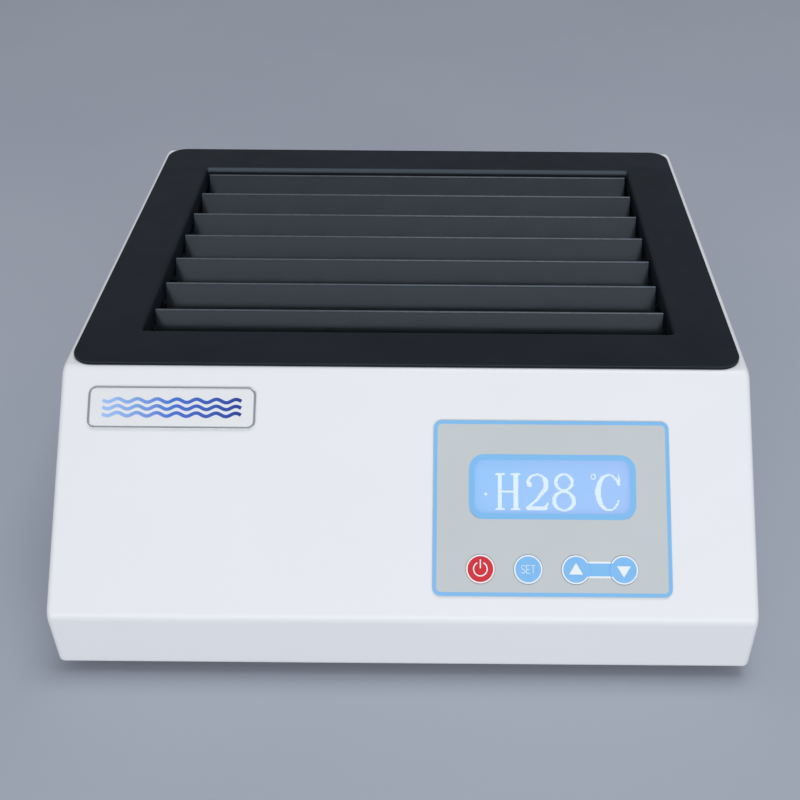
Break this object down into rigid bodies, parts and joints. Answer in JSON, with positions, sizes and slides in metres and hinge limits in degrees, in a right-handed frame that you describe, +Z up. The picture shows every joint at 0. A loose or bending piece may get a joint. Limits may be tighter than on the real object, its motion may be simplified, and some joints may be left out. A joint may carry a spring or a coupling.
{
  "type": "dry block heater",
  "caption": "Bench dry heater with a sloping control face and a black heated well crossed by leaning aluminium fins that hold rows of glass slides.",
  "frame": {"origin": "middle of the footprint, on the surface that the feet stand on", "axes": "+X to the right seen from the front, +Y to the back, +Z up"},
  "size_m": [0.3062, 0.31, 0.1115],
  "materials": {
    "enamel": "white powder coat, semi-gloss with a faint orange peel",
    "black_coat": "fine matt black powder coat",
    "black_anodised": "black anodised, satin",
    "zinc_steel": "zinc-plated sheet",
    "zinc_fastener": "bright zinc plate",
    "rivet": "dark anodised rivets",
    "silicone": "red-brown silicone rubber",
    "aluminium_sheet": "mill finish",
    "insulation": "ceramic fibre pad",
    "probe_steel": "drawn stainless tube",
    "black_plastic": "moulded black plastic, fine spark texture",
    "membrane": "printed polyester overlay, light grey with a blue border",
    "window": "clear polyester window with a printed blue frame",
    "lcd": "backlit blue display with white figures",
    "circuit_board": "green solder mask",
    "key_red": "red printed key with a white ring",
    "key_blue": "light blue printed key with a white ring",
    "nameplate_metal": "satin metal plate with a polished rim",
    "terminal_plastic": "green moulded plastic",
    "cable_grey": "grey cable jacket",
    "wire_sleeve": "insulated wire in brown, blue, green and yellow, and fibreglass white",
    "pin_brass": "plated brass",
    "fuse_glass": "glass tube with metal caps",
    "foot_rubber": "black rubber"
  },
  "bodies": {
    "chassis": {"housing_cover": "enamel", "base_tray": "zinc_steel", "rear_panel": "enamel", "top_panel": "black_coat", "panel_nuts": "zinc_fastener", "tray_gasket": "silicone", "heating_tray": "black_anodised", "fin_1": "black_anodised", "fin_2": "black_anodised", "fin_3": "black_anodised", "fin_4": "black_anodised", "fin_5": "black_anodised", "fin_6": "black_anodised", "fin_7": "black_anodised", "fin_rivets": "rivet", "heater_mat": "silicone", "clamp_plate": "aluminium_sheet", "insulation_pad": "insulation", "heat_shield": "zinc_steel", "shield_pillars": "zinc_fastener", "shield_screws": "zinc_fastener", "temperature_sensor": "probe_steel", "sensor_clip": "aluminium_sheet", "thermal_cutout": "black_plastic", "membrane_panel": "membrane", "lcd_window": "window", "lcd_module": "lcd", "display_board": "circuit_board", "tact_switches": "black_plastic", "display_pillars": "zinc_fastener", "display_screws": "zinc_fastener", "nameplate": "nameplate_metal", "control_board": "circuit_board", "transformer": "black_plastic", "relay": "black_plastic", "terminal_block": "terminal_plastic", "control_pillars": "zinc_fastener", "control_screws": "zinc_fastener", "display_cable": "cable_grey", "mains_wires": "wire_sleeve", "heater_leads": "wire_sleeve", "sensor_lead": "wire_sleeve", "inlet_socket": "black_plastic", "inlet_pins": "pin_brass", "inlet_screws": "zinc_fastener", "switch_housing": "black_plastic", "earth_stud": "pin_brass", "earth_nut": "pin_brass", "rubber_feet": "foot_rubber", "foot_screws": "zinc_fastener", "foot_nuts": "zinc_fastener", "cover_screws": "zinc_fastener", "rear_screws": "zinc_fastener"},
    "key_power": {"key_power": "key_red"},
    "key_set": {"key_set": "key_blue"},
    "key_up": {"key_up": "key_blue"},
    "key_down": {"key_down": "key_blue"},
    "power_rocker": {"power_rocker": "black_plastic"},
    "fuse_drawer": {"fuse_drawer": "black_plastic", "fuse": "fuse_glass"}
  },
  "joints": [
    {"name": "key_power_press", "type": "slide", "parent": "chassis", "child": "key_power", "axis": [0, 0.6836, -0.7298], "range_m": [0, 0.0004], "stiffness_N_per_m": 1500, "springref_m": -0.001},
    {"name": "key_set_press", "type": "slide", "parent": "chassis", "child": "key_set", "axis": [0, 0.6836, -0.7298], "range_m": [0, 0.0004], "stiffness_N_per_m": 1500, "springref_m": -0.001},
    {"name": "key_up_press", "type": "slide", "parent": "chassis", "child": "key_up", "axis": [0, 0.6836, -0.7298], "range_m": [0, 0.0004], "stiffness_N_per_m": 1500, "springref_m": -0.001},
    {"name": "key_down_press", "type": "slide", "parent": "chassis", "child": "key_down", "axis": [0, 0.6836, -0.7298], "range_m": [0, 0.0004], "stiffness_N_per_m": 1500, "springref_m": -0.001},
    {"name": "power_switch_rock", "type": "hinge", "parent": "chassis", "child": "power_rocker", "pos_m": [0.04, 0.148, 0.041], "axis": [-1, 0, 0], "range_deg": [0, 22]},
    {"name": "fuse_drawer_slide", "type": "slide", "parent": "chassis", "child": "fuse_drawer", "axis": [0, 1, 0], "range_m": [0, 0.018]}
  ]
}
